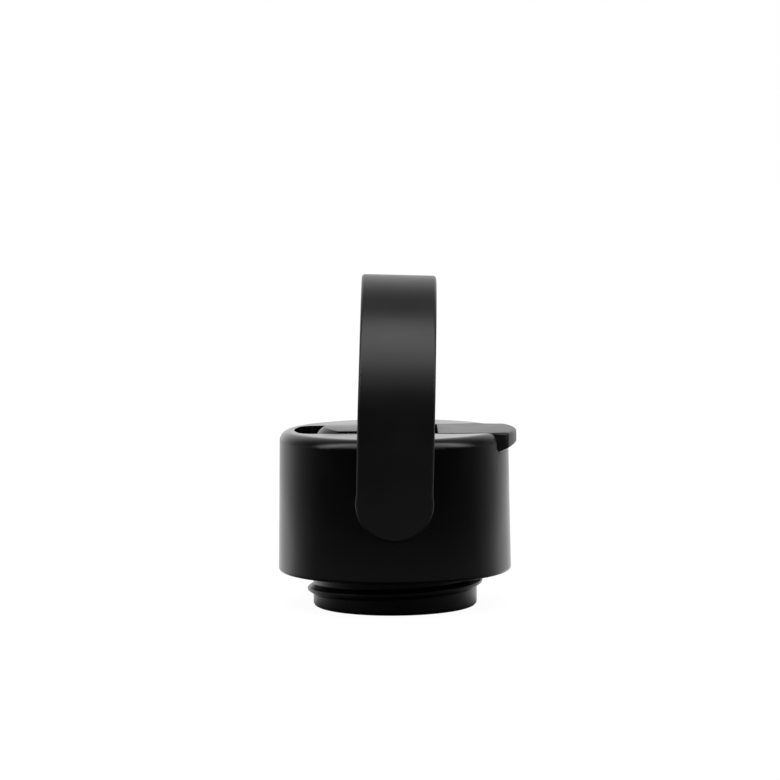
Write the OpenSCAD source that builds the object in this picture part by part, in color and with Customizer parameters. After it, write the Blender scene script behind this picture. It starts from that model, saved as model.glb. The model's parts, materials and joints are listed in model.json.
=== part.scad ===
// Sport cap for a wide-mouth bottle: a smooth skirted shell on a threaded liner,
// a strap handle that swings across it, a flip-up spout and a flip-open drinking flap.
// The origin is on the cap's axis, level with the lower edge of the skirt. +X is the flap's side.

/* [Shell] */
// How far the skirt's lower edge stands out from the neck
skirt_reach = 10.1; // [9.8:0.1:12]
// How much less the skirt's radius is just below the rim fillet
skirt_taper = 0.6; // [0:0.05:0.8]
// Height of the skirt, from its lower edge to the top
skirt_h = 41.2; // [40.4:0.1:45]
// Radius of the fillet round the top
rim_fillet = 3; // [2:0.25:3.5]
// Radius of the skirt's lower outer edge
hem_fillet = 0.9; // [0.5:0.1:1.2]
// Wall of the skirt at its lower edge
skirt_wall = 2.8; // [2.4:0.1:3]
// Thickness of the top
roof_t = 2.4; // [2:0.1:2.6]
// Step inside the skirt that the liner stops against
ledge_step = 0.6; // [0.4:0.1:0.9]
// Walls and floors of the slot and its pockets
pocket_wall = 2.2; // [1.8:0.1:2.4]

/* [Neck and thread] */
// Outer diameter of the neck, at the thread's root
neck_d = 48; // [46:0.5:50]
// Wall of the neck
neck_wall = 2.6; // [2.2:0.1:3]
// Length of the neck below the skirt
neck_h = 10.5; // [10:0.1:13]
// Radius of the neck's lower outer edge
neck_fillet = 1.8; // [1.2:0.1:2]
// Height of the thread's ridge over the neck
thread_h = 1.7; // [1.2:0.1:2]
// Rise of the thread in one turn
thread_lead = 4.7; // [4:0.1:5.2]
// Depth of the ridge's crest below the skirt, on the flap's side
thread_depth = 3.1; // [2.9:0.1:3.5]
// Width of the ridge where it meets the neck
thread_base = 3.3; // [2.6:0.1:3.5]
// Angle round the neck that the thread turns through
thread_sweep = 440; // [360:10:450]

/* [Liner] */
// Height of the liner's flange above the skirt's lower edge
flange_z = 2.9; // [2.5:0.1:3.3]
// Thickness of the liner's flange
flange_t = 2.6; // [2.4:0.1:3.2]
// Thickness of the liner's floor
floor_t = 2.4; // [1.8:0.1:3]
// Depth of the floor inside the neck, below the skirt's lower edge
floor_depth = 3.7; // [3.3:0.1:4.1]
// Outer diameter of the straw tube
straw_tube_d = 10; // [9.6:0.2:11]
// Inner diameter of the straw socket
straw_socket_d = 6.8; // [6:0.2:7.2]
// Bore of the spout's duct
duct_d = 4.8; // [4.2:0.2:5.2]
// Distance of the vent valve from the axis
vent_x = 13; // [12:0.5:14]
// Thickness of the gasket that meets the bottle's mouth
gasket_t = 1.8; // [1.4:0.1:2]
// Width of the gasket's sealing face
gasket_w = 3.2; // [2.6:0.1:3.6]

/* [Slot] */
// Width of the slot round the spout
slot_w = 24.4; // [24:0.2:26]
// Material left between the slot's closed end and the rim
slot_margin = 4.3; // [4:0.1:5.5]
// Radius of the corners at the slot's closed end
slot_corner = 5; // [3:0.25:6]
// Depth of the floor under the spout, below the top
well_depth = 10.3; // [10.1:0.1:11.3]
// Depth of the floor under the flap's hinge, below the top
deck_depth = 5.7; // [5.5:0.1:6.3]
// Depth of the notch that the flap's tab passes through
notch_depth = 2.5; // [2.5:0.1:3]
// Depth of the recess in the skirt behind the tab's lip
recess_depth = 1.1; // [0.8:0.1:1.3]
// Gap at each side of the tab
tab_gap = 0.9; // [0.5:0.1:1.2]

/* [Spout] */
// Depth of the spout's hinge axis below the top
hub_depth = 6.1; // [5.7:0.1:6.3]
// Diameter of the spout's barrel
hub_d = 14; // [13:0.2:14]
// Diameter of the spout's trunnions
trunnion_d = 5; // [4:0.2:6]
// Reach of the spout's nose from the hinge axis
nose_reach = 23.45; // [22:0.05:24]
// Radius of the nose seen from above
nose_r = 14.1; // [12:0.1:15]
// Radius that rounds the nose over from the crown
nose_edge = 6; // [5:0.1:7]
// Depth of that rounding's centre below the crown
nose_drop = 5.25; // [4.5:0.05:6]
// Width of the spout
spout_w = 19.6; // [18:0.2:21]
// Height of the spout's crown over the top of the shell
crown_h = 0.95; // [0.8:0.05:1.4]
// Radius of the crown across the spout
crown_r = 100; // [60:5:200]
// Distance from the hinge axis down to the spout's underside
spout_drop = 3.4; // [3:0.1:3.6]

/* [Flap] */
// Where the flap's hinge end starts, from the axis
flap_x = 12.7; // [12.4:0.1:13]
// Width of the flap
flap_w = 28; // [27:0.2:29]
// Thickness of the flap's plate
flap_t = 2.2; // [2:0.1:2.3]
// How far the plate stands above the shell's top
flap_proud = 0.1; // [0:0.05:0.4]
// How far the tab reaches past the rim
tab_reach = 2.1; // [1.8:0.05:3]
// Radius of the tab's corners
tab_corner = 1.75; // [1:0.25:3]
// Depth of the tab's lip below the top, at its deepest
lip_drop = 5.8; // [4.8:0.1:6.4]
// Slope of the lip's lower edge
lip_slope = 22; // [10:1:30]
// Diameter of the flap's hinge knuckle
knuckle_d = 4; // [3.6:0.1:4.2]
// Diameter of the hinge pin
pin_d = 2; // [1.6:0.1:2.4]

/* [Drinking port] */
// Distance of the port's mouth from the hinge pin
port_reach = 8.3; // [8.2:0.1:8.6]
// Rise of the middle of the port's mouth over the floor under the flap's hinge
port_rise = 0.2; // [0:0.1:0.4]
// Lean of the port
port_lean = 14; // [12:0.5:15]
// Bore of the port
port_d = 10.8; // [9.6:0.2:11]
// Wall of the port's duct
port_wall = 1.1; // [0.9:0.1:1.2]
// Height of the port's lip over the deck
port_lip = 1.4; // [1.2:0.1:1.6]
// How far the flap's plug goes into the port
plug_depth = 1.8; // [1:0.1:2]

/* [Handle] */
// Width of the strap
strap_w = 21.9; // [20:0.1:23.5]
// Diameter of the legs' round ends
leg_end_d = 22.4; // [20.5:0.1:24]
// Thickness of the strap
strap_t = 3.2; // [2.8:0.1:4]
// Radius of the strap's edges
strap_edge = 1; // [0.6:0.1:1.2]
// Height of the pivots above the skirt's lower edge
pivot_z = 23.6; // [22:0.1:24.5]
// Height of the strap's top above its pivots
handle_h = 63; // [60:0.5:75]
// Lean of the handle towards the flap
handle_lean = 1.8; // [0:0.1:5]
// Diameter of the handle's trunnions
stud_d = 8; // [7:0.2:9]
// Diameter of the round pad that each leg turns on
pad_d = 19; // [16:0.5:20]
// Diameter of the handle screws
screw_d = 2.9; // [2.5:0.1:3.5]

/* [Clearances] */
// Running clearance on a radius
run_gap = 0.05; // [0.03:0.01:0.08]
// Gap between parts that move past each other
side_gap = 0.3; // [0.25:0.05:0.4]
// Gap on a radius between parts that are pushed together
push_gap = 0.02; // [0.01:0.01:0.04]

/* [Hidden] */
$fn = 96;
over = 1;

skirt_r = neck_d / 2 + skirt_reach;
rim_r = skirt_r - skirt_taper;
bore_low_r = skirt_r - skirt_wall;
bore_r = bore_low_r - ledge_step;
roof_z = skirt_h - roof_t;
block_r = bore_r + 0.5;
block_top = roof_z + roof_t / 2;
snap_bead = 0.5;

neck_r = neck_d / 2;
neck_in = neck_r - neck_wall;
flange_r = bore_low_r - run_gap;
flange_top = flange_z + flange_t;
floor_lo = -floor_depth;
floor_hi = floor_lo + floor_t;
seal_w = 1.3;
groove_depth = seal_w + run_gap;
tube_mid_r = (straw_socket_d + straw_tube_d) / 4;
gasket_lip = 0.6;
gasket_face_r = neck_r + thread_h + 0.2;
gasket_out_r = gasket_face_r + gasket_w;
vent_stem_r = 1.4;
vent_cap_r = 4;
vent_cap_t = 0.7;
vent_holes_r = 2.7;
thread_end = 500;

well_floor_z = skirt_h - well_depth;
deck_z = skirt_h - deck_depth;
slot_half = slot_w / 2;
flap_half = flap_w / 2;
pocket_half = flap_half + side_gap;
wall_half = pocket_half + pocket_wall + 0.4;
slot_end_r = rim_r - slot_margin;
deck_end_r = rim_r - roof_t - 0.1;
notch_z = skirt_h - notch_depth;

hub_z = skirt_h - hub_depth;
hub_r = hub_d / 2;
cup_r = hub_r + 2 * side_gap + 0.1;
hub_half = slot_half - side_gap - 0.1;
trunnion_half = slot_half + pocket_wall;
crown_z = skirt_h + crown_h;
nose_z = crown_z - nose_drop;
gland_top = hub_z - hub_r - side_gap;
gland_t = 1.6;
gland_lo = gland_top - gland_t;
gland_r = straw_tube_d / 2 - 0.1;

flap_top = skirt_h + flap_proud;
flap_lo = flap_top - flap_t;
knuckle_r = knuckle_d / 2;
hinge_x = flap_x + knuckle_r + 0.2;
hinge_z = flap_top - knuckle_r - 0.25;
pocket_x = hinge_x - norm([hinge_x - flap_x, flap_top - hinge_z]) - side_gap;
tab_r = rim_r + tab_reach;
recess_r = rim_r - recess_depth;

port_x = hinge_x + port_reach;
port_z = deck_z + port_rise;
port_r = port_d / 2;
duct_r = port_r + port_wall;
deck_t = pocket_wall;
ring_t = 1.5;
collar_t = 1.3;
collar_r = duct_r + 1.7;
seal_r = duct_r - 0.1;
seal_t = 1;
seal_hold_r = 3.6;
port_run = (port_z - floor_lo) / cos(port_lean);

leg_in = max(skirt_r, rim_r) + side_gap;
leg_out = leg_in + strap_t;
arch_z = pivot_z + handle_h - leg_out;
pad_y = leg_in - side_gap;
boss_inset = 5.5;
boss_wall = 3.5;
boss_y = skirt_r - boss_inset;
boss_d = stud_d + 2 * boss_wall;
stud_r = stud_d / 2;
stud_end = boss_y - side_gap;
washer_t = 1;
washer_r = stud_r + 1.6;
screw_r = screw_d / 2;
pilot_r = screw_r + push_gap;
screw_tip = leg_in + strap_t / 3;
head_t = 2;
head_r = screw_d * 0.95;
recess_w = 0.7;
groove_inset = 3.8;
groove_y = skirt_r - groove_inset;
groove_w = 1.6;
groove_r = stud_r - 0.9;

// A ring, or a disc where r_in is 0, turned about the vertical axis
module ring(r_in, r_out, z_lo, z_hi) {
    rotate_extrude() translate([r_in, z_lo]) square([r_out - r_in, z_hi - z_lo]);
}

// A block given by two opposite corners
module block(lo, hi) {
    translate(lo) cube(hi - lo);
}

// A round bar along Y between two distances, at the place x, z
module bar_y(r, y_lo, y_hi, x, z) {
    translate([x, y_hi, z]) rotate([90, 0, 0]) cylinder(r = r, h = y_hi - y_lo);
}

// The drinking port's own frame: its mouth is at 0 and its axis leans towards the rim
module port_frame() {
    translate([port_x, 0, port_z]) rotate([0, port_lean, 0]) children();
}

// Copies a part at the handle's front side, -1, or back side, +1
module at_side(side) {
    mirror([0, side < 0 ? 1 : 0, 0]) children();
}

// Outer form of the skirt and top, with both edges rounded
module skirt_profile() {
    polygon([
        [0, hem_fillet], [skirt_r, hem_fillet],
        [rim_r, skirt_h - rim_fillet], [0, skirt_h - rim_fillet]
    ]);
    square([skirt_r - hem_fillet, 2 * hem_fillet]);
    translate([skirt_r - hem_fillet, hem_fillet]) circle(hem_fillet);
    translate([0, skirt_h - 2 * rim_fillet]) square([rim_r - rim_fillet, 2 * rim_fillet]);
    translate([rim_r - rim_fillet, skirt_h - rim_fillet]) circle(rim_fillet);
}

// Hollow of the shell, with the ledge that the liner stops against
module cavity_profile() {
    translate([0, -over]) square([bore_low_r, over + flange_top]);
    square([bore_r, roof_z]);
}

// Outline from above of a straight strip along +X. Its end follows a circle round the cap's axis
// and its corners are rounded.
module strip_plan(x_start, end_r, half, corner) {
    centre = [sqrt(pow(end_r - corner, 2) - pow(half - corner, 2)), half - corner];
    intersection() {
        circle(end_r, $fn = 360);
        polygon([
            [x_start, -centre[1]], [centre[0], -centre[1]], 2 * [centre[0], -centre[1]],
            2 * centre, centre, [x_start, centre[1]]
        ]);
    }
    translate([x_start, -half]) square([centre[0] - x_start, 2 * half]);
    for (side = [-1, 1]) translate([centre[0], side * centre[1]]) circle(corner);
}

// Solid round the slot's pockets, before they are cut
module pocket_blocks() {
    intersection() {
        ring(0, block_r, 0, block_top);
        union() {
            block([-skirt_r, -wall_half, well_floor_z - pocket_wall],
                  [cup_r + pocket_wall, wall_half, block_top]);
            bar_y(cup_r + pocket_wall, -wall_half, wall_half, 0, hub_z);
            block([0, -wall_half, deck_z - deck_t], [port_x, wall_half, block_top]);
            intersection() {
                port_frame() block([-duct_r, -skirt_r, -port_lip - deck_t],
                                   [skirt_r, skirt_r, skirt_h]);
                block([0, -wall_half, 0], [skirt_r, wall_half, block_top]);
            }
        }
    }
}

// Space cut for the spout, the port and the flap
module slot_space() {
    translate([0, 0, well_floor_z]) linear_extrude(skirt_h)
        mirror([1, 0]) strip_plan(-cup_r, slot_end_r, slot_half, slot_corner);
    intersection() {
        block([-cup_r, -slot_half, 0], [pocket_x + over, slot_half, skirt_h + over]);
        union() {
            bar_y(cup_r, -skirt_r, skirt_r, 0, hub_z);
            block([0, -skirt_r, deck_z], [skirt_r, skirt_r, 2 * skirt_h]);
        }
    }
    intersection() {
        block([pocket_x, -pocket_half, 0], [skirt_r + over, pocket_half, skirt_h + over]);
        union() {
            intersection() {
                ring(0, deck_end_r, 0, 2 * skirt_h);
                union() {
                    block([0, -skirt_r, deck_z], [skirt_r, skirt_r, 2 * skirt_h]);
                    port_frame() block([-duct_r, -skirt_r, -port_lip], [skirt_r, skirt_r, skirt_h]);
                }
            }
            block([port_x, -skirt_r, notch_z], [2 * skirt_r, skirt_r, 2 * skirt_h]);
        }
    }
    intersection() {
        block([port_x, -flap_half - tab_gap, 0], [2 * skirt_r, flap_half + tab_gap, 2 * skirt_h]);
        ring(recess_r, 2 * skirt_r, skirt_h - lip_drop - side_gap, skirt_h + over);
    }
}

module outer_shell() {
    color("#161618") difference() {
        union() {
            difference() {
                rotate_extrude() skirt_profile();
                rotate_extrude() cavity_profile();
            }
            rotate_extrude() polygon([
                [bore_low_r + snap_bead, flange_z - 1.4], [bore_low_r - snap_bead, flange_z - 0.7],
                [bore_low_r - snap_bead, flange_z - 0.4], [bore_low_r + snap_bead, flange_z - 0.1]
            ]);
            pocket_blocks();
            for (side = [-1, 1]) at_side(side) {
                bar_y(boss_d / 2, boss_y, bore_r, 0, pivot_z);
                bar_y(pad_d / 2, bore_r - skirt_wall / 2, pad_y, 0, pivot_z);
            }
        }
        slot_space();
        port_frame() {
            cylinder(r = duct_r + run_gap, h = 2 * skirt_h, center = true);
            translate([0, 0, -port_lip - deck_t - skirt_h])
                cylinder(r = collar_r + push_gap, h = skirt_h);
        }
        ring(0, straw_tube_d / 2 + side_gap, 0, hub_z);
        bar_y(trunnion_d / 2 + run_gap, -trunnion_half - run_gap, trunnion_half + run_gap, 0, hub_z);
        bar_y(pin_d / 2 + push_gap, -wall_half, wall_half, hinge_x, hinge_z);
        for (side = [-1, 1]) at_side(side)
            bar_y(stud_r + run_gap, stud_end, pad_y + over, 0, pivot_z);
    }
}

// Half section of the liner: neck, flange, floor and straw tube
module liner_profile() {
    translate([neck_in, neck_fillet - neck_h])
        square([neck_wall, neck_h - neck_fillet + flange_top]);
    translate([neck_in, -neck_h]) square([neck_wall - neck_fillet, 2 * neck_fillet]);
    intersection() {
        translate([neck_r - neck_fillet, neck_fillet - neck_h]) circle(neck_fillet);
        translate([neck_r - neck_fillet, -neck_h]) square(2 * neck_fillet);
    }
    difference() {
        translate([neck_in, flange_z]) square([flange_r - neck_in, flange_t]);
        translate([flange_r - groove_depth, flange_z + (flange_t - seal_w) / 2])
            square([groove_depth + over, seal_w]);
    }
    translate([tube_mid_r, floor_lo]) square([neck_in + neck_wall / 2 - tube_mid_r, floor_t]);
    translate([straw_socket_d / 2, 1 - neck_h])
        square([(straw_tube_d - straw_socket_d) / 2, neck_h + flange_z - 1]);
    translate([duct_d / 2, flange_z])
        square([(straw_tube_d - duct_d) / 2, gland_lo - flange_z]);
}

// A thread ridge: sections stand along a helix, low where it runs in and out
module thread_ridge() {
    steps = ceil(thread_sweep / 7.5);
    foot = 1;
    crest = thread_base * 0.1;
    function lift(i) = min(1, 0.05 + min(i, steps - i) / 5);
    function turn(i) = thread_end - thread_sweep + thread_sweep * i / steps;
    function mid(i) = -thread_depth + thread_lead * (turn(i) - 360) / 360;
    function section(i) = [
        [-foot, -thread_base * 0.7], [thread_h * 0.8, -crest * 2], [thread_h, -crest],
        [thread_h, crest], [thread_h * 0.8, crest * 2], [-foot, thread_base * 0.7]
    ];
    function place(p, i) = let (
        r = neck_r - (p[0] < 0 ? foot : 0) + (p[0] < 0 ? 0 : p[0] * lift(i) - 0.1 * (1 - lift(i))),
        a = turn(i)
    ) [r * cos(a), r * sin(a), mid(i) + p[1]];
    n = len(section(0));
    points = [for (i = [0 : steps]) for (p = section(i)) place(p, i)];
    sides = [for (i = [0 : steps - 1]) for (k = [0 : n - 1])
        let (a = i * n + k, b = i * n + (k + 1) % n)
        each [[a, b, b + n], [a, b + n, a + n]]];
    first = [for (k = [1 : n - 2]) [0, k + 1, k]];
    last = [for (k = [1 : n - 2]) [steps * n, steps * n + k, steps * n + k + 1]];
    polyhedron(points, concat(sides, first, last));
}

module threaded_liner() {
    color("#141416") difference() {
        union() {
            rotate_extrude() liner_profile();
            thread_ridge();
        }
        port_frame() cylinder(r = duct_r + push_gap, h = 3 * skirt_h, center = true);
        translate([-vent_x, 0, 0]) {
            ring(0, vent_stem_r + push_gap, floor_lo - over, floor_hi + over);
            for (a = [45 : 90 : 315]) rotate(a) translate([vent_holes_r, 0, 0])
                ring(0, 0.5, floor_lo - over, floor_hi + over);
        }
    }
}

module port_duct() {
    color("#1b1b1d") intersection() {
        difference() {
            union() {
                port_frame() {
                    translate([0, 0, -port_run - skirt_wall])
                        cylinder(r = duct_r, h = port_run + skirt_wall);
                    translate([0, 0, -port_lip - deck_t - ring_t - collar_t])
                        cylinder(r = collar_r, h = collar_t);
                }
                intersection() {
                    translate([port_x - (port_z - floor_hi) * tan(port_lean), 0, floor_hi])
                        cylinder(r = duct_r + 2, h = collar_t);
                    ring(straw_tube_d / 2 + side_gap, neck_in - push_gap, floor_hi, floor_hi + collar_t);
                }
            }
            port_frame() cylinder(r = port_r, h = 3 * skirt_h, center = true);
        }
        ring(0, skirt_r, floor_lo, skirt_h);
    }
}

// Its sealing face lies outside the thread and its inner edge is bevelled
module neck_gasket() {
    color("#0c0c0d") rotate_extrude() polygon([
        [neck_r + 0.1, flange_z], [neck_r + 0.1, flange_z - gasket_lip],
        [gasket_face_r, flange_z - gasket_t], [gasket_out_r, flange_z - gasket_t],
        [gasket_out_r, flange_z]
    ]);
}

module shell_seal() {
    color("#0c0c0d") rotate_extrude()
        translate([flange_r - groove_depth + seal_w / 2, flange_z + flange_t / 2])
            circle(seal_w / 2 - push_gap);
}

module port_ring() {
    color("#0c0c0d") port_frame() ring(duct_r + push_gap, collar_r,
        -port_lip - deck_t - ring_t, -port_lip - deck_t);
}

module spout_seal() {
    color("#0c0c0d") difference() {
        ring(duct_d / 2, gland_r, gland_lo, gland_top);
        ring(0, duct_d / 2 + 0.8, gland_top - 0.5, gland_top + over);
    }
}

module vent_valve() {
    color("#0c0c0d") translate([-vent_x, 0, 0]) {
        ring(0, vent_stem_r, floor_lo, floor_hi);
        ring(0, vent_cap_r, floor_lo - vent_cap_t, floor_lo);
        ring(0, vent_stem_r + 0.6, floor_hi, floor_hi + 1);
    }
}

// Half section of the round nose about its own upright axis
module nose_profile() {
    square([nose_r, nose_z]);
    square([nose_r - nose_edge, nose_z + nose_edge]);
    translate([nose_r - nose_edge, nose_z]) circle(nose_edge);
}

// A straight body with a shallow crown that rounds over to the nose
module flip_spout() {
    color("#121214") difference() {
        union() {
            intersection() {
                union() {
                    translate([nose_r - nose_reach, 0, 0]) rotate_extrude() nose_profile();
                    block([nose_r - nose_reach, -spout_w, 0], [over, spout_w, nose_z + nose_edge]);
                }
                block([-nose_reach - over, -spout_w / 2, hub_z - spout_drop],
                      [0, spout_w / 2, 2 * skirt_h]);
                translate([0, 0, crown_z - crown_r]) rotate([0, -90, 0])
                    cylinder(r = crown_r, h = nose_reach + over);
            }
            bar_y(hub_r, -hub_half, hub_half, 0, hub_z);
            bar_y(trunnion_d / 2, -trunnion_half, trunnion_half, 0, hub_z);
        }
        translate([hub_r + over, 0, hub_z]) rotate([0, -90, 0])
            cylinder(d = duct_d, h = hub_r + nose_reach + 2 * over);
    }
}

// Plate and lip of the flap, seen from the front
module flap_side() {
    lip_x = sqrt(pow(rim_r, 2) - pow(flap_half, 2)) - 1;
    lip_z = skirt_h - lip_drop;
    polygon([
        [flap_x, flap_lo], [lip_x, flap_lo], [lip_x, lip_z],
        [tab_r + over, lip_z + (tab_r + over - lip_x) * tan(lip_slope)],
        [tab_r + over, flap_top], [flap_x, flap_top]
    ]);
}

module drink_flap() {
    color("#18181a") difference() {
        union() {
            difference() {
                intersection() {
                    translate([0, 0, skirt_h - 2 * lip_drop]) linear_extrude(3 * lip_drop)
                        strip_plan(flap_x, tab_r, flap_half, tab_corner);
                    translate([0, skirt_r, 0]) rotate([90, 0, 0]) linear_extrude(2 * skirt_r) flap_side();
                }
                ring(0, recess_r + side_gap, 0, notch_z + side_gap);
            }
            bar_y(knuckle_r, -flap_half, flap_half, hinge_x, hinge_z);
            intersection() {
                port_frame() {
                    translate([0, 0, side_gap + seal_t]) cylinder(r = seal_r - 0.6, h = lip_drop);
                    translate([0, 0, 1.2 - plug_depth]) cylinder(r = seal_hold_r, h = lip_drop);
                }
                ring(0, skirt_r, 0, flap_lo + flap_t / 2);
            }
        }
        bar_y(pin_d / 2 + run_gap, -skirt_r, skirt_r, hinge_x, hinge_z);
    }
}

module flap_seal() {
    plug_top_r = port_r - side_gap;
    color("#0c0c0d") port_frame() rotate_extrude() difference() {
        union() {
            translate([0, side_gap]) square([seal_r, seal_t]);
            polygon([
                [0, -plug_depth], [plug_top_r - 0.5, -plug_depth],
                [plug_top_r, side_gap], [0, side_gap]
            ]);
        }
        translate([0, 1.2 - plug_depth]) square([seal_hold_r + push_gap, 2 * lip_drop]);
    }
}

module flap_hinge_pin() {
    color("#a7a9ad") bar_y(pin_d / 2, -wall_half, wall_half, hinge_x, hinge_z);
}

// Section of a strap of the given width, lying flat with rounded edges
module strap_section(width) {
    for (side = [-1, 1]) translate([side * (width / 2 - strap_edge), 0]) {
        translate([0, strap_edge]) circle(strap_edge);
        translate([0, strap_t - strap_edge]) circle(strap_edge);
        translate([-strap_edge, strap_edge]) square([2 * strap_edge, strap_t - 2 * strap_edge]);
    }
    translate([strap_edge - width / 2, 0]) square([width - 2 * strap_edge, strap_t]);
}

module handle_stud() {
    difference() {
        bar_y(stud_r, stud_end, leg_in + strap_edge, 0, pivot_z);
        difference() {
            bar_y(stud_r + over, groove_y - groove_w / 2, groove_y + groove_w / 2, 0, pivot_z);
            bar_y(groove_r, 0, skirt_r, 0, pivot_z);
        }
    }
}

module carry_handle() {
    color("#151517") lean_handle() difference() {
        union() {
            translate([0, 0, arch_z]) rotate([90, 0, 90])
                rotate_extrude(angle = 180) rotate(-90) translate([0, leg_in])
                    strap_section(strap_w);
            for (side = [-1, 1]) at_side(side) {
                translate([0, leg_in, pivot_z]) linear_extrude(arch_z - pivot_z)
                    strap_section(strap_w);
                translate([0, leg_in, pivot_z]) rotate([-90, 0, 0]) rotate_extrude()
                    intersection() {
                        strap_section(leg_end_d);
                        square([leg_end_d, strap_t]);
                    }
                handle_stud();
            }
        }
        for (side = [-1, 1]) at_side(side)
            bar_y(pilot_r, 0, screw_tip + push_gap, 0, pivot_z);
    }
}

// Turns the handle's parts about the pivot line to the lean it is shown with
module lean_handle() {
    translate([0, 0, pivot_z]) rotate([0, handle_lean, 0]) translate([0, 0, -pivot_z]) children();
}

module friction_ring(side) {
    color("#0c0c0d") at_side(side) difference() {
        bar_y(stud_r - push_gap, groove_y - groove_w / 2 + push_gap,
              groove_y + groove_w / 2 - push_gap, 0, pivot_z);
        bar_y(groove_r + push_gap, 0, skirt_r, 0, pivot_z);
    }
}
module friction_ring_front() { friction_ring(-1); }
module friction_ring_back() { friction_ring(1); }

module handle_washer(side) {
    color("#a7a9ad") at_side(side) difference() {
        bar_y(washer_r, stud_end - washer_t, stud_end, 0, pivot_z);
        bar_y(pilot_r + 0.1, 0, skirt_r, 0, pivot_z);
    }
}
module handle_washer_front() { handle_washer(-1); }
module handle_washer_back() { handle_washer(1); }

module handle_screw(side) {
    head_y = stud_end - washer_t;
    color("#a7a9ad") at_side(side) difference() {
        union() {
            bar_y(screw_r, head_y - head_t / 4, screw_tip, 0, pivot_z);
            bar_y(head_r, head_y - head_t, head_y, 0, pivot_z);
        }
        for (a = [0, 90]) translate([0, head_y - head_t, pivot_z]) rotate([0, a, 0])
            cube([recess_w, head_t * 1.1, head_r * 1.3], center = true);
    }
}
module handle_screw_front() { handle_screw(-1); }
module handle_screw_back() { handle_screw(1); }

outer_shell();
threaded_liner();
port_duct();
neck_gasket();
shell_seal();
port_ring();
spout_seal();
vent_valve();
flip_spout();
drink_flap();
flap_seal();
flap_hinge_pin();
carry_handle();
friction_ring_front();
friction_ring_back();
handle_washer_front();
handle_washer_back();
handle_screw_front();
handle_screw_back();
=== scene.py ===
import json
import math

import bmesh
import bpy
from mathutils import Matrix, Vector


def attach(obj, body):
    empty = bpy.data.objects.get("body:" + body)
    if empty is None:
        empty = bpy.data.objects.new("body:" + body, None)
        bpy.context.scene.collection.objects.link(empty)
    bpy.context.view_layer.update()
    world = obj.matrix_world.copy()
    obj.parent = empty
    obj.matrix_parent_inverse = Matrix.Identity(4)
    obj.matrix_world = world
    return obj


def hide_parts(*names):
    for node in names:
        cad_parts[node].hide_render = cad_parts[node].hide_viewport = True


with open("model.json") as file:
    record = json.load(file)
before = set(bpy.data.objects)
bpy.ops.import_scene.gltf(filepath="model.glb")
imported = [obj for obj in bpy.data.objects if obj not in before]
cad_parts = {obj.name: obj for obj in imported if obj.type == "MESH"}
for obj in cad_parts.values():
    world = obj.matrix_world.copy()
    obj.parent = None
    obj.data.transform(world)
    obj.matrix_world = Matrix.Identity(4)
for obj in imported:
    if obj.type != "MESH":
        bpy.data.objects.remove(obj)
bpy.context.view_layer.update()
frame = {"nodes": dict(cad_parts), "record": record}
capNodes = frame["nodes"]
print("cap frame loaded:", len(capNodes), "nodes")


# materials

flowDetail = 3
grainDetail = 2
fullWhite = (1, 1, 1, 1)


def startMaterial(name):
    mat = bpy.data.materials.new(name)
    mat.use_nodes = True
    tree = mat.node_tree
    coords = tree.nodes.new("ShaderNodeTexCoord")
    coords.location = (-1300, 0)
    return mat, tree, tree.nodes["Principled BSDF"], coords.outputs["Object"]


def noiseNode(tree, vector, scale, detail, x, y):
    noise = tree.nodes.new("ShaderNodeTexNoise")
    noise.location = (x, y)
    noise.inputs["Scale"].default_value = scale
    noise.inputs["Detail"].default_value = detail
    tree.links.new(vector, noise.inputs["Vector"])
    return noise.outputs["Fac"]


def twoTone(tree, fac, dark, light, x, y):
    mix = tree.nodes.new("ShaderNodeMix")
    mix.data_type = "RGBA"
    mix.location = (x, y)
    mix.inputs["A"].default_value = (*dark, 1)
    mix.inputs["B"].default_value = (*light, 1)
    tree.links.new(fac, mix.inputs["Factor"])
    return mix.outputs["Result"]


# a noise pattern's usual lowest and highest value
noiseSpan = (0.3, 0.7)


def spread(tree, fac, low, high, x, y):
    span = tree.nodes.new("ShaderNodeMapRange")
    span.location = (x, y)
    span.inputs["From Min"].default_value, span.inputs["From Max"].default_value = noiseSpan
    span.inputs["To Min"].default_value = low
    span.inputs["To Max"].default_value = high
    tree.links.new(fac, span.inputs["Value"])
    return span.outputs["Result"]


def bumpNode(tree, height, look):
    bump = tree.nodes.new("ShaderNodeBump")
    bump.location = (-400, -300)
    bump.inputs["Strength"].default_value = look["grainStrength"]
    bump.inputs["Distance"].default_value = look["grainDepth"]
    tree.links.new(height, bump.inputs["Height"])
    return bump


# black mouldings: faint flow marks in the gloss, fine mould grain, softened edges
def mouldedPlastic(name, look):
    mat, tree, shader, place = startMaterial(name)
    flow = noiseNode(tree, place, look["flowScale"], flowDetail, -1000, 300)
    grain = noiseNode(tree, place, look["grainScale"], grainDetail, -1000, -300)
    tone = twoTone(tree, flow, look["dark"], look["light"], -500, 300)
    tree.links.new(tone, shader.inputs["Base Color"])
    low, high = look["rough"] - look["roughSpread"], look["rough"] + look["roughSpread"]
    tree.links.new(spread(tree, flow, low, high, -500, 0), shader.inputs["Roughness"])
    edge = tree.nodes.new("ShaderNodeBevel")
    edge.location = (-700, -500)
    edge.samples = look["edgeSamples"]
    edge.inputs["Radius"].default_value = look["edge"]
    bump = bumpNode(tree, grain, look)
    tree.links.new(edge.outputs["Normal"], bump.inputs["Normal"])
    tree.links.new(bump.outputs["Normal"], shader.inputs["Normal"])
    return mat


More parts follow.
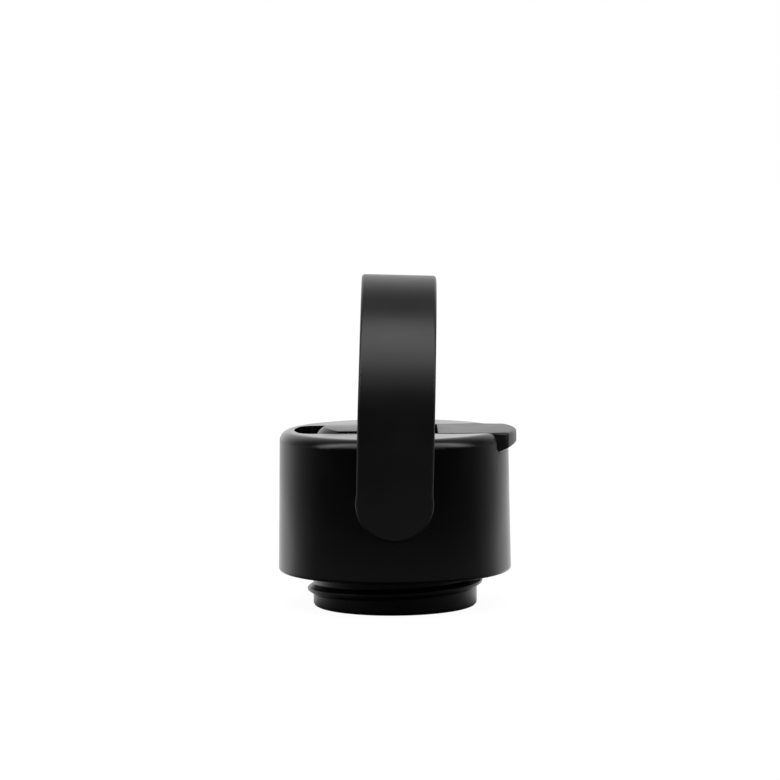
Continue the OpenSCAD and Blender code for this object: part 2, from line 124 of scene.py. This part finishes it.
shellLook = {
    "dark": (0.0005, 0.0005, 0.0006), "light": (0.0009, 0.0009, 0.001), "rough": 0.19, "roughSpread": 0.02,
    "flowScale": 90, "grainScale": 2600, "grainStrength": 0.5, "grainDepth": 0.00001, "edge": 0.0003,
    "edgeSamples": 4,
}
flapLook = dict(shellLook, rough=0.36)
spoutLook = dict(shellLook, rough=0.3, flowScale=120)
linerLook = dict(shellLook, rough=0.3)
strapLook = {
    "dark": (0.002, 0.002, 0.0021), "light": (0.003, 0.003, 0.0032), "rough": 0.33, "roughSpread": 0.03,
    "flowScale": 70, "grainScale": 2200, "grainStrength": 0.6, "grainDepth": 0.000015, "edge": 0.0003,
    "edgeSamples": 4,
}


def softSilicone(name, look):
    mat, tree, shader, place = startMaterial(name)
    cloud = noiseNode(tree, place, look["cloudScale"], grainDetail, -1000, 300)
    grain = noiseNode(tree, place, look["grainScale"], grainDetail, -1000, -300)
    tone = twoTone(tree, cloud, look["dark"], look["light"], -500, 300)
    tree.links.new(tone, shader.inputs["Base Color"])
    tree.links.new(spread(tree, cloud, *look["rough"], -500, 0), shader.inputs["Roughness"])
    shader.inputs["Specular IOR Level"].default_value = look["specular"]
    bump = bumpNode(tree, grain, look)
    tree.links.new(bump.outputs["Normal"], shader.inputs["Normal"])
    return mat


siliconeLook = {
    "dark": (0.007, 0.007, 0.0075), "light": (0.011, 0.011, 0.012), "rough": (0.5, 0.62), "specular": 0.4,
    "cloudScale": 160, "grainScale": 1800, "grainStrength": 0.4, "grainDepth": 0.00002,
}


# turned stainless: fine rings across the turning axis, Y on every steel piece
def turnedSteel(name, look):
    mat, tree, shader, place = startMaterial(name)
    stretch = tree.nodes.new("ShaderNodeMapping")
    stretch.location = (-1150, -200)
    stretch.inputs["Scale"].default_value = (1, look["lineScale"], 1)
    tree.links.new(place, stretch.inputs["Vector"])
    lines = noiseNode(tree, stretch.outputs["Vector"], look["grainScale"], grainDetail, -1000, -300)
    cloud = noiseNode(tree, place, look["cloudScale"], grainDetail, -1000, 300)
    tone = twoTone(tree, cloud, look["dark"], look["light"], -500, 300)
    tree.links.new(tone, shader.inputs["Base Color"])
    tree.links.new(spread(tree, lines, *look["rough"], -500, 0), shader.inputs["Roughness"])
    shader.inputs["Metallic"].default_value = 1
    bump = bumpNode(tree, lines, look)
    tree.links.new(bump.outputs["Normal"], shader.inputs["Normal"])
    return mat


steelLook = {
    "dark": (0.56, 0.57, 0.59), "light": (0.66, 0.67, 0.69), "rough": (0.24, 0.36), "lineScale": 12,
    "grainScale": 350, "cloudScale": 250, "grainStrength": 0.3, "grainDepth": 0.00001,
}

finishes = {
    "shell_plastic": mouldedPlastic("shellBlack", shellLook),
    "spout_plastic": mouldedPlastic("spoutBlack", spoutLook),
    "liner_plastic": mouldedPlastic("linerBlack", linerLook),
    "strap_plastic": mouldedPlastic("strapBlack", strapLook),
    "silicone": softSilicone("sealSilicone", siliconeLook),
    "steel": turnedSteel("turnedSteel", steelLook),
}
slotOf = {part["node"]: part["material_slot"] for part in frame["record"]["subparts"]}
for nodeName, obj in capNodes.items():
    obj.data.materials.clear()
    obj.data.materials.append(finishes[slotOf[nodeName]])
capNodes["drink_flap"].data.materials[0] = mouldedPlastic("flapBlack", flapLook)
print("finishes set on", len(capNodes), "nodes")


# reshaped copies of cap nodes

# how close points are to be merged, how flat faces are to be joined, and the angle of a full fold
merging = {"near": 0.000002, "flat": 0.05, "folded": 180}


# a merged copy of a cap node, to be reworked and shown in its place
def mergedCopy(nodeName, name):
    node = capNodes[nodeName]
    piece = bpy.data.objects.new(name, node.data.copy())
    bpy.context.scene.collection.objects.link(piece)
    if "custom_normal" in piece.data.attributes:
        piece.data.attributes.remove(piece.data.attributes["custom_normal"])
    mesh = bmesh.new()
    mesh.from_mesh(piece.data)
    for edge in mesh.edges:
        edge.smooth = True
    bmesh.ops.remove_doubles(mesh, verts=mesh.verts, dist=merging["near"])
    flat = math.radians(merging["flat"])
    bmesh.ops.dissolve_limit(mesh, angle_limit=flat, verts=mesh.verts, edges=mesh.edges)
    return piece, mesh


def finishCopy(piece, mesh, nodeName, body, smooth):
    mesh.to_mesh(piece.data)
    mesh.free()
    bpy.ops.object.select_all(action="DESELECT")
    piece.select_set(True)
    bpy.context.view_layer.objects.active = piece
    bpy.ops.object.shade_smooth_by_angle(angle=math.radians(smooth))
    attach(piece, body)
    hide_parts(nodeName)


def creases(mesh, least, most, inside):
    low, high = math.radians(least), math.radians(most)
    return [
        edge for edge in mesh.edges
        if low < edge.calc_face_angle(0) < high and all(inside(v.co) for v in edge.verts)
    ]


def roundEdges(mesh, edges, offset, steps):
    bmesh.ops.bevel(
        mesh, geom=edges, offset=offset, segments=steps, profile=0.5, affect="EDGES", clamp_overlap=True,
    )
    return len(edges)


# the thumb tab's upper edge is well rounded past the rim, and so is the plate's far edge;
# the tab reaches a little further out
flapEdges = {
    "tabX": 0.0285, "topZ": 0.0405, "tabRound": 0.0008, "farY": 0.0135, "farRound": 0.0007,
    "stretchX": 0.0305, "stretch": 0.05, "steps": 4, "sharp": 50, "smooth": 30,
}


def roundFlap(look):
    piece, mesh = mergedCopy("drink_flap", "flapRounded")

    def onTab(at):
        return at.x > look["tabX"] and at.z > look["topZ"]

    def onFarEdge(at):
        return at.y > look["farY"] and at.z > look["topZ"]

    tab = creases(mesh, look["sharp"], merging["folded"], onTab)
    count = roundEdges(mesh, tab, look["tabRound"], look["steps"])
    far = creases(mesh, look["sharp"], merging["folded"], onFarEdge)
    count += roundEdges(mesh, far, look["farRound"], look["steps"])
    for v in mesh.verts:
        v.co.x += max(0, v.co.x - look["stretchX"]) * look["stretch"]
    finishCopy(piece, mesh, "drink_flap", "flap", look["smooth"])
    return count


print("flap rounded at", roundFlap(flapEdges), "edges")


# the neck's lower edge is rounded a little less than in the solids: the arc's centre and radii
neckEdge = {
    "arcR": 0.0222, "arcZ": -0.0087, "radius": 0.0018, "less": 0.0006, "near": 0.00003, "smooth": 32,
}


def squareNeck(look):
    piece, mesh = mergedCopy("threaded_liner", "linerSquared")
    share = 1 - look["less"] / look["radius"]
    for v in mesh.verts:
        out = math.hypot(v.co.x, v.co.y)
        over = out - look["arcR"]
        under = look["arcZ"] - v.co.z
        onArc = abs(math.hypot(over, under) - look["radius"]) < look["near"]
        if onArc and min(over, under) > -look["near"]:
            reach = (look["arcR"] + look["less"] + over * share) / out
            v.co.x *= reach
            v.co.y *= reach
            v.co.z = look["arcZ"] - look["less"] - under * share
    finishCopy(piece, mesh, "threaded_liner", "cap", look["smooth"])


squareNeck(neckEdge)
print("neck edge squared")


# the strap's width changes a little with height, about its leaning middle line, and its arch is lower
strapTaper = {
    "pivotZ": 0.0236, "lean": 1.8, "archZ": 0.049, "shift": -0.00012, "rise": 0.995, "smooth": 35,
    "widths": [(0.012, 1), (0.034, 1), (0.044, 1.006), (0.055, 1.002), (0.065, 0.996), (0.087, 0.993)],
}


def widthShare(z, widths):
    for (lowZ, lowShare), (highZ, highShare) in zip(widths, widths[1:]):
        if z < highZ:
            return lowShare + (highShare - lowShare) * max(0, z - lowZ) / (highZ - lowZ)
    return widths[-1][1]


def taperStrap(look):
    piece, mesh = mergedCopy("carry_handle", "strapTapered")
    slant = math.tan(math.radians(look["lean"]))
    for v in mesh.verts:
        middle = (v.co.z - look["pivotZ"]) * slant
        v.co.x = middle + (v.co.x - middle) * widthShare(v.co.z, look["widths"])
        if v.co.z > look["pivotZ"]:
            climb = (v.co.z - look["pivotZ"]) / (look["archZ"] - look["pivotZ"])
            v.co.x += look["shift"] * min(1, climb)
        if v.co.z > look["archZ"]:
            v.co.z = look["archZ"] + (v.co.z - look["archZ"]) * look["rise"]
    finishCopy(piece, mesh, "carry_handle", "handle", look["smooth"])


taperStrap(strapTaper)
print("strap tapered")


# the spout's crown runs smoothly over into its nose and has a soft edge along its sides
spoutEdges = {
    "topZ": 0.0408, "backX": -0.0005, "noseRound": 0.003, "sideRound": 0.0005, "steps": 4,
    "slight": 12, "sharp": 50, "smooth": 35,
}


def roundSpout(look):
    piece, mesh = mergedCopy("flip_spout", "spoutRounded")

    def onCrown(at):
        return at.z > look["topZ"] and at.x < look["backX"]

    nose = creases(mesh, look["slight"], look["sharp"], onCrown)
    count = roundEdges(mesh, nose, look["noseRound"], look["steps"])
    sides = creases(mesh, look["sharp"], merging["folded"], onCrown)
    count += roundEdges(mesh, sides, look["sideRound"], look["steps"])
    finishCopy(piece, mesh, "flip_spout", "spout", look["smooth"])
    return count


print("spout rounded at", roundSpout(spoutEdges), "edges")


# studio

studio = {
    "floorZ": -0.01055, "floorSize": 8, "paper": 1.06, "shadow": 0.1, "fill": 0.75, "domeLevel": 2.2,
    "matte": 0.85, "boxEnergy": 1.1, "boxSize": 0.5, "boxAway": 0.7, "boxRise": 42, "boxAim": 0.04,
}
# painted light level of the floor, seen only in reflections from low down, by direction from the front, 0,
# to the back, 1
paintedFloorLevels = [(0, 0.006), (0.2, 0.02), (0.4, 0.07), (0.55, 0.2), (0.66, 0.38), (0.82, 0.88), (0.92, 1)]
# painted shade under the cap and painted bounce light off the paper close in front, seen in reflections,
# by distance from the axis in metres
paintedNearBounce = [(0.075, 0.01), (0.115, 0.17), (0.15, 0.17), (0.19, 0.12), (0.25, 0.08), (0.34, 0)]
# painted pool of light: the paper to the sides is painted brighter close to the cap, in reflections
paintedSidePool = [(0.1, 1), (0.16, 0.86), (0.26, 0.52), (0.36, 0.38)]
paintedSidePoolGain = 2.2
# shares of domeLevel overhead, by angle from the front horizon, 0, over the top to the back, 1
domeStops = [(0, 0.005), (0.15, 0.03), (0.35, 0.12), (0.5, 0.15), (0.65, 0.17), (0.78, 0.4), (0.9, 0.5)]
# how much of that is lost sideways, and from where, by the square of the direction's X
sideLoss = (0.75, 0.2, 0.85)
# the soft light in front of the cap, by the same angle, and how it falls off round to the sides
bandStops = [(0.07, 0), (0.15, 0.2), (0.23, 0.7), (0.33, 1), (0.41, 1), (0.46, 0.5), (0.52, 0)]
bandSides = [(0, 0.03), (0.12, 0.35), (0.26, 0.95), (0.4, 1), (0.55, 0.64), (0.75, 0.62), (1, 0.72)]
bandGain = 1.45


def greyRamp(tree, fac, stops, x, y):
    ramp = tree.nodes.new("ShaderNodeValToRGB")
    ramp.location = (x, y)
    for at, value in stops[1:-1]:
        ramp.color_ramp.elements.new(at)
    for element, (at, value) in zip(ramp.color_ramp.elements, stops):
        element.position = at
        element.color = (value, value, value, 1)
    tree.links.new(fac, ramp.inputs["Fac"])
    return ramp.outputs["Color"]


def mathNode(tree, operation, first, second, x, y):
    node = tree.nodes.new("ShaderNodeMath")
    node.operation = operation
    node.location = (x, y)
    for socket, value in zip(node.inputs, (first, second)):
        if isinstance(value, (int, float)):
            socket.default_value = value
        else:
            tree.links.new(value, socket)
    return node.outputs[0]


# painted light on the floor, seen only in reflections: dark in front past the painted near bounce, white
# behind the cap
def paintedFloorLight(tree, place, x, y):
    aim = tree.nodes.new("ShaderNodeVectorMath")
    aim.operation = "NORMALIZE"
    aim.location = (x, y)
    tree.links.new(place, aim.inputs[0])
    parts = tree.nodes.new("ShaderNodeSeparateXYZ")
    parts.location = (x + 180, y)
    tree.links.new(aim.outputs[0], parts.inputs[0])
    half = mathNode(tree, "MULTIPLY_ADD", parts.outputs["Y"], 0.5, x + 360, y)
    half.node.inputs[2].default_value = 0.5
    side = greyRamp(tree, half, paintedFloorLevels, x + 540, y)
    reach = tree.nodes.new("ShaderNodeVectorMath")
    reach.operation = "LENGTH"
    reach.location = (x, y - 300)
    tree.links.new(place, reach.inputs[0])
    near = greyRamp(tree, reach.outputs["Value"], paintedNearBounce, x + 540, y - 300)
    close = greyRamp(tree, reach.outputs["Value"], paintedSidePool, x + 540, y - 600)
    gain = mathNode(tree, "MULTIPLY", close, paintedSidePoolGain, x + 840, y - 600)
    lit = mathNode(tree, "MULTIPLY", side, gain, x + 1020, y)
    paper = mathNode(tree, "MINIMUM", lit, 1, x + 1200, y)
    return mathNode(tree, "MAXIMUM", paper, near, x + 1380, y)


# a little over 1, so that no root is taken of a negative number
overOne = 1.0001


# what gloss picks up overhead: a broad soft light in front, dimmer at the top, white behind
def domeGloss(tree, direction, x, y):
    parts = tree.nodes.new("ShaderNodeSeparateXYZ")
    parts.location = (x, y)
    tree.links.new(direction, parts.inputs[0])
    back = mathNode(tree, "MULTIPLY", parts.outputs["Y"], -1, x + 180, y)
    height = mathNode(tree, "MAXIMUM", parts.outputs["Z"], 0, x + 180, y - 200)
    angle = mathNode(tree, "ARCTAN2", height, back, x + 360, y)
    turn = mathNode(tree, "DIVIDE", angle, math.pi, x + 540, y)
    sky = greyRamp(tree, turn, domeStops, x + 720, y)
    band = greyRamp(tree, turn, bandStops, x + 720, y - 300)
    tilt = mathNode(tree, "MULTIPLY", parts.outputs["Z"], parts.outputs["Z"], x + 180, y - 500)
    rest = mathNode(tree, "SUBTRACT", overOne, tilt, x + 300, y - 500)
    level = mathNode(tree, "SQRT", rest, 0, x + 420, y - 500)
    ahead = mathNode(tree, "DIVIDE", back, level, x + 540, y - 500)
    sides = greyRamp(tree, ahead, bandSides, x + 720, y - 600)
    lit = mathNode(tree, "MULTIPLY", band, sides, x + 1000, y - 300)
    lit = mathNode(tree, "MULTIPLY", lit, bandGain, x + 1180, y - 300)
    sideways = mathNode(tree, "MULTIPLY", parts.outputs["X"], parts.outputs["X"], x + 180, y + 300)
    loss = tree.nodes.new("ShaderNodeMapRange")
    loss.interpolation_type = "SMOOTHSTEP"
    loss.location = (x + 360, y + 300)
    most, start, full = sideLoss
    loss.inputs["From Min"].default_value = start
    loss.inputs["From Max"].default_value = full
    loss.inputs["To Min"].default_value = 1
    loss.inputs["To Max"].default_value = 1 - most
    tree.links.new(sideways, loss.inputs["Value"])
    dimmed = mathNode(tree, "MULTIPLY", sky, loss.outputs["Result"], x + 1180, y)
    return mathNode(tree, "ADD", dimmed, lit, x + 1360, y)


def mixShaders(tree, share, first, second):
    mix = tree.nodes.new("ShaderNodeMixShader")
    tree.links.new(share, mix.inputs[0])
    tree.links.new(first.outputs[0], mix.inputs[1])
    tree.links.new(second.outputs[0], mix.inputs[2])
    return mix


# one shader for what gloss picks up, one for what is seen itself, and one for all the rest
def splitByRay(tree, rest, gloss, itself):
    path = tree.nodes.new("ShaderNodeLightPath")
    direct, passed = path.outputs["Is Camera Ray"], path.outputs["Is Transmission Ray"]
    seen = mathNode(tree, "MAXIMUM", direct, passed, 0, 300)
    unseen = mixShaders(tree, path.outputs["Is Glossy Ray"], rest, gloss)
    return mixShaders(tree, seen, unseen, itself)


def buildWorld():
    world = bpy.data.worlds.new("whiteStudio")
    bpy.context.scene.world = world
    world.use_nodes = True
    tree = world.node_tree
    tree.nodes.clear()
    out = tree.nodes.new("ShaderNodeOutputWorld")
    coords = tree.nodes.new("ShaderNodeTexCoord")
    fill = tree.nodes.new("ShaderNodeBackground")
    fill.inputs["Color"].default_value = fullWhite
    fill.inputs["Strength"].default_value = studio["fill"]
    white = tree.nodes.new("ShaderNodeBackground")
    white.inputs["Color"].default_value = fullWhite
    gloss = tree.nodes.new("ShaderNodeBackground")
    gloss.inputs["Strength"].default_value = studio["domeLevel"]
    tree.links.new(domeGloss(tree, coords.outputs["Generated"], -1300, 200), gloss.inputs["Color"])
    tree.links.new(splitByRay(tree, fill, gloss, white).outputs[0], out.inputs["Surface"])


def buildFloor():
    bpy.ops.object.select_all(action="DESELECT")
    bpy.ops.mesh.primitive_plane_add(size=studio["floorSize"], location=(0, 0, studio["floorZ"]))
    floor = bpy.context.object
    floor.name = "studioFloor"
    mat = bpy.data.materials.new("paleFloor")
    mat.use_nodes = True
    tree = mat.node_tree
    tree.nodes.clear()
    out = tree.nodes.new("ShaderNodeOutputMaterial")
    coords = tree.nodes.new("ShaderNodeTexCoord")
    matte = tree.nodes.new("ShaderNodeBsdfDiffuse")
    matte.inputs["Color"].default_value = (studio["matte"], studio["matte"], studio["matte"], 1)
    white = tree.nodes.new("ShaderNodeEmission")
    white.inputs["Color"].default_value = fullWhite
    white.inputs["Strength"].default_value = studio["paper"]
    paper = tree.nodes.new("ShaderNodeMixShader")
    paper.inputs[0].default_value = studio["shadow"]
    tree.links.new(white.outputs[0], paper.inputs[1])
    tree.links.new(matte.outputs[0], paper.inputs[2])
    # the floor's painted light: an emission seen only by gloss, graded by position on the floor
    gloss = tree.nodes.new("ShaderNodeEmission")
    tree.links.new(paintedFloorLight(tree, coords.outputs["Object"], -1300, 200), gloss.inputs["Color"])
    tree.links.new(splitByRay(tree, matte, gloss, paper).outputs[0], out.inputs["Surface"])
    floor.data.materials.append(mat)


def buildSoftbox():
    light = bpy.data.lights.new("frontSoftbox", "AREA")
    light.shape = "SQUARE"
    light.size = studio["boxSize"]
    light.energy = studio["boxEnergy"]
    box = bpy.data.objects.new("frontSoftbox", light)
    bpy.context.scene.collection.objects.link(box)
    rise = math.radians(studio["boxRise"])
    aim = Vector((0, 0, studio["boxAim"]))
    away = Vector((0, -math.cos(rise), math.sin(rise))) * studio["boxAway"]
    box.location = aim + away
    box.rotation_euler = away.to_track_quat("Z", "Y").to_euler()
    box.visible_camera = False
    box.visible_glossy = False


buildWorld()
buildFloor()
buildSoftbox()
print("studio built")


# camera

view = {
    "x": -0.00105, "y": -1.02, "z": 0.1432, "pitch": 5.07, "roll": -0.45, "lens": 161.5, "sensor": 36,
    "nearest": 0.01,
}
camData = bpy.data.cameras.new("photoCamera")
camData.lens = view["lens"]
camData.sensor_width = view["sensor"]
camData.clip_start = view["nearest"]
camera = bpy.data.objects.new("photoCamera", camData)
bpy.context.scene.collection.objects.link(camera)
place = Matrix.Translation((view["x"], view["y"], view["z"]))
pitch = Matrix.Rotation(math.radians(90 - view["pitch"]), 4, "X")
camera.matrix_world = place @ pitch @ Matrix.Rotation(math.radians(view["roll"]), 4, "Z")
bpy.context.scene.camera = camera
bpy.context.scene.view_settings.view_transform = "Standard"
print("camera set")
